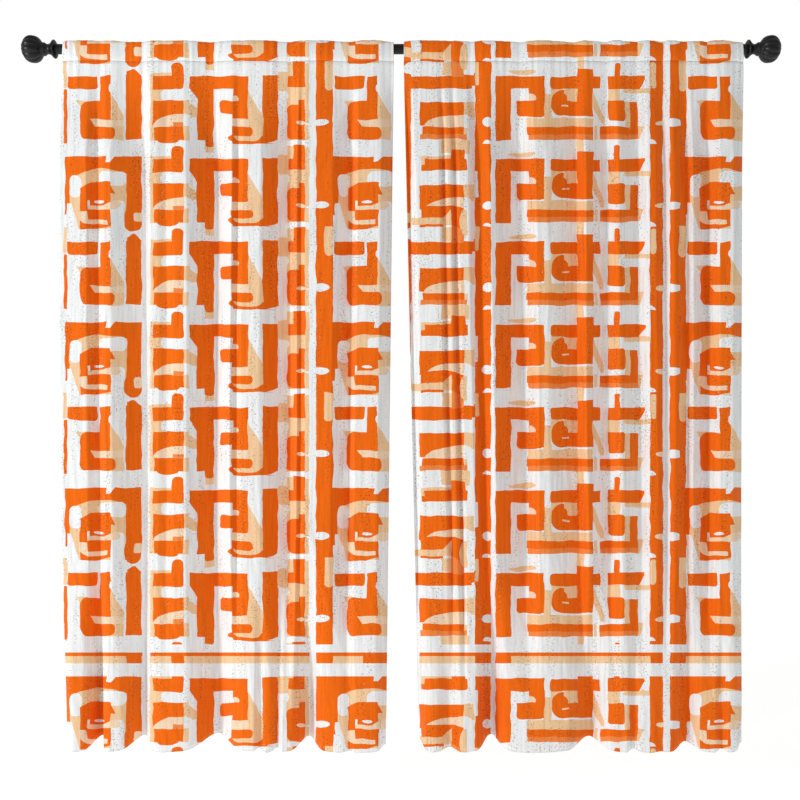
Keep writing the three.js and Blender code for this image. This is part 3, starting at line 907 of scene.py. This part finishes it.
def side_hem(side, edge):
    """A side hem: the panel's edge turned to the back in a narrow strip."""
    node = f"{side}_{edge}_side_hem"
    low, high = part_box(node)
    at_left = (side == "left") == (edge == "outer")
    near, far = (0.0, 0.035) if at_left else (1.0, 0.965)
    top, foot = share_of_drop(high.z), share_of_drop(low.z)
    across, down = np.meshgrid(spread(near, far, 7), np.clip(spread(top, foot, 150), 0, 1))
    back = hang(side, across, down, TURNED_BACK)
    front = hang(side, np.full(150, near), down[:, 0], -0.1 * MM)
    edge_rows = []
    outward = -1 if at_left else 1
    for step in range(0, 5):
        angle = math.pi * step / 5
        turn = front.copy()
        turn[:, 1] += (TURNED_BACK + 0.1 * MM) / 2 * (1 - math.cos(angle))
        turn[:, 0] += outward * 0.8 * MM * math.sin(angle)
        edge_rows.append(turn)
    points = np.concatenate([np.stack(edge_rows, axis=1), back], axis=1)
    body = f"{side}_leading_edge" if edge == "leading" else "rod_and_brackets"
    name = f"{side}_{edge}_hem_strip"
    made = cloth_piece(name, side, points, print_places(points), body, flip=at_left, thick=TURNED_CLOTH)
    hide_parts(node)
    return made


def stitches(name, line, normals, body, length=3.2 * MM, pitch=4.2 * MM, thick=0.28 * MM):
    """A row of thread stitches, each a small spindle that lies on the cloth along a line."""
    steps = np.linalg.norm(np.diff(line, axis=0), axis=1)
    travelled = np.concatenate([[0], np.cumsum(steps)])
    count = int(travelled[-1] / pitch)
    vertices = []
    faces = []
    sides = 5
    shape = [(-0.5, 0.25), (-0.3, 0.85), (0.0, 1.0), (0.3, 0.85), (0.5, 0.25)]
    for number in range(count):
        centre = (number + 0.5) * pitch
        rings = []
        spots = [centre + share * length for share, _ in shape]
        path = np.stack([np.interp(spots, travelled, line[:, axis]) for axis in range(3)], axis=1)
        up = np.array([np.interp(centre, travelled, normals[:, axis]) for axis in range(3)])
        along = path[-1] - path[0]
        along = along / np.linalg.norm(along)
        up = up - along * np.dot(up, along)
        up = up / np.linalg.norm(up)
        across = np.cross(along, up)
        for (share, girth), spot in zip(shape, path):
            start = len(vertices)
            for side in range(sides):
                angle = 2 * math.pi * side / sides
                reach = up * math.cos(angle) * 0.7 + across * math.sin(angle)
                vertices.append(spot + reach * thick * girth)
            rings.append(start)
        for first, second in zip(rings, rings[1:]):
            for side in range(sides):
                after = (side + 1) % sides
                faces.append([first + side, first + after, second + after, second + side])
        faces.append([rings[0] + side for side in reversed(range(sides))])
        faces.append([rings[-1] + side for side in range(sides)])
    return piece(name, vertices, faces, [THREAD], body)


def seam_stitches(side):
    """Stitching along the pocket's seam, on its front."""
    across = spread(0.003, 0.997, 900)
    line = hang(side, across, np.zeros_like(across), -0.15 * MM)
    out = np.tile([0.0, -1.0, 0.0], (len(across), 1))
    made = stitches(f"{side}_pocket_stitches", line, out, "rod_and_brackets")
    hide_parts(f"{side}_pocket_seam")
    return made


def hem_stitches(side):
    """Stitching along the bottom hem's upper edge, behind the cloth."""
    across = spread(0.04, 0.96, 900)
    down = np.full_like(across, share_of_drop(HEM_TOP_Z - 5 * MM))
    line = hang(side, across, down, HEM_BACK + 0.1 * MM)
    out = np.tile([0.0, 1.0, 0.0], (len(across), 1))
    made = stitches(f"{side}_hem_stitches", line, out, "rod_and_brackets")
    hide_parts(f"{side}_bottom_hem_seam")
    return made


def side_stitches(side, edge):
    """Stitching down a side hem's inner edge, behind the cloth."""
    at_left = (side == "left") == (edge == "outer")
    down = spread(0.012, share_of_drop(HEM_TOP_Z) - 0.002, 900)
    across = np.full_like(down, 0.03 if at_left else 0.97)
    line = hang(side, across, down, TURNED_BACK + 0.1 * MM)
    out = np.tile([0.0, 1.0, 0.0], (len(down), 1))
    body = f"{side}_leading_edge" if edge == "leading" else "rod_and_brackets"
    return stitches(f"{side}_{edge}_hem_stitches", line, out, body, pitch=5.0 * MM)


def panel(side):
    """One curtain panel: the cloth, its hems and its stitching."""
    front = curtain(side)
    turned = [pocket_back(side), bottom_hem(side)]
    turned += [side_hem(side, edge) for edge in ("outer", "leading")]
    sewn = [seam_stitches(side), hem_stitches(side)]
    sewn += [side_stitches(side, edge) for edge in ("outer", "leading")]
    for made in [front] + turned + sewn:
        gathered(made, side)


for side in SIDES:
    panel(side)


# ---------------------------------------------------------------- the rod, its ends and its brackets
FINIAL_PROFILE = [  # the distance from the rod's end, and the radius
    (0.4, 15.5), (0.9, 20.5), (2.2, 25.2), (3.6, 27.0), (5.0, 27.5), (6.6, 27.1), (8.2, 25.6), (11.0, 22.4),
    (15.0, 18.6), (18.5, 16.2), (21.5, 15.0), (25.0, 14.8), (28.0, 15.6), (31.0, 17.4), (33.2, 19.2),
    (34.6, 19.9), (35.8, 20.0), (36.8, 19.4),
]
FINIAL_BALL = (38.3, 65.0, 41.0)  # where the ball starts, its length and its radius
FINIAL_LOBES = 10


def finial(side):
    """A cast finial: a flared lip, a waist, a small collar, and a ball of plump lobes with sharp grooves."""
    start, length, radius = FINIAL_BALL
    rings = [(along, reach, 0.0) for along, reach in FINIAL_PROFILE]
    for step in range(1, 36):
        angle = math.pi * (0.155 + 0.845 * step / 36)
        depth = 4.6 * math.sin(angle) * smooth_step((step - 0.5) / 5)
        rings.append((start + length * (1 - math.cos(angle)) / 2, radius * math.sin(angle), depth))
    around = FINIAL_LOBES * 16
    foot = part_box(f"{side}_rod_tube")[0 if side == "left" else 1].x
    outward = -1 if side == "left" else 1
    vertices = []
    for along, reach, depth in rings:
        for number in range(around):
            turn = 2 * math.pi * number / around
            groove = 1 - abs(math.sin(FINIAL_LOBES * turn / 2)) ** 0.7
            far = (reach - depth * groove) * MM
            place = (foot + outward * along * MM, ROD_Y + far * math.cos(turn), far * math.sin(turn))
            vertices.append(place)
    vertices.append((foot + outward * (start + length) * MM, ROD_Y, 0))
    faces = grid_around(len(rings), around)
    last = (len(rings) - 1) * around
    faces += [[last + number, last + (number + 1) % around, len(vertices) - 1] for number in range(around)]
    faces.append(list(range(around))[::-1])
    if side == "left":
        faces = [face[::-1] for face in faces]
    made = piece(f"{side}_ribbed_finial", vertices, faces, [RESIN], f"{side}_finial_knob")
    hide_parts(f"{side}_finial")


def grid_around(rings, around):
    """Quads of rings of points that close on themselves, facing out when the rings run along +x."""
    faces = []
    for ring in range(rings - 1):
        for number in range(around):
            after = (number + 1) % around
            low, high = ring * around, (ring + 1) * around
            faces.append([low + number, low + after, high + after, high + number])
    return faces


for side in SIDES:
    finial(side)


def finish_hardware():
    """Each metal, resin and nylon part of the frame gets its own finish."""
    finishes = {
        COATED: ("rod_tube", "wall_plate", "bracket_arm"),
        RESIN: ("finial",),
        STEEL: ("finial_stud", "upper_wall_screw", "lower_wall_screw", "thumb_screw"),
        NYLON: ("tube_plug",),
    }
    for material, names in finishes.items():
        for name in names:
            for side in SIDES:
                set_finish(f"{side}_{name}", material)
    set_finish("inner_rod_tube", COATED)
    set_finish("inner_tube_sleeve", NYLON)


def set_finish(node, material):
    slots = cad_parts[node].material_slots
    for slot in slots:
        slot.material = material


finish_hardware()


# ---------------------------------------------------------------- light, floor and camera
def area_light(name, place, aim, size, power):
    data = bpy.data.lights.new(name, "AREA")
    data.shape = "RECTANGLE"
    data.size, data.size_y = size
    data.energy = power
    made = bpy.data.objects.new(name, data)
    made.location = place
    made.rotation_euler = (Vector(aim) - Vector(place)).to_track_quat("-Z", "Y").to_euler()
    bpy.context.scene.collection.objects.link(made)


def pale_world():
    """Even light from all around, seen by the camera as plain white."""
    world = bpy.data.worlds.new("pale studio")
    world.use_nodes = True
    tree = world.node_tree
    background = tree.nodes["Background"]
    background.inputs["Color"].default_value = (1, 1, 1, 1)
    seen = tree.nodes.new("ShaderNodeLightPath")
    strength = tree.nodes.new("ShaderNodeMapRange")
    tree.links.new(seen.outputs["Is Camera Ray"], strength.inputs["Value"])
    strength.inputs["To Min"].default_value = 0.5
    strength.inputs["To Max"].default_value = 1.0
    tree.links.new(strength.outputs["Result"], background.inputs["Strength"])
    bpy.context.scene.world = world


def studio():
    scene = bpy.context.scene
    scene.view_settings.view_transform = "Standard"
    pale_world()
    middle = (0, ROD_Y, -1.05)
    area_light("key from the left", (-4.8, -3.0, -0.2), middle, (0.8, 1.6), 148)

    mesh = bpy.data.meshes.new("floor")
    reach = 6.0
    floor_z = HEM_Z - 0.3
    sides = [(-1, -1), (1, -1), (1, 1), (-1, 1)]
    corners = [(x * reach, y * reach, floor_z) for x, y in sides]
    mesh.from_pydata(corners, [], [(0, 1, 2, 3)])
    floor = bpy.data.objects.new("floor", mesh)
    scene.collection.objects.link(floor)
    paint = Paint("pale floor")
    paint.finish(
        Base_Color=(0.9, 0.9, 0.9, 1),
        Roughness=0.9,
        Emission_Color=(1, 1, 1, 1),
        Emission_Strength=0.54,
    )
    mesh.materials.append(paint.material)

    camera = bpy.data.cameras.new("camera")
    camera.sensor_width = 36
    camera.lens = camera.sensor_width * VIEW_AWAY / (800 * SQUARE)  # the view is 800 squares wide at the rod
    made = bpy.data.objects.new("camera", camera)
    made.location = EYE
    made.rotation_euler = (math.pi / 2, 0, 0)
    scene.collection.objects.link(made)
    scene.camera = made


studio()
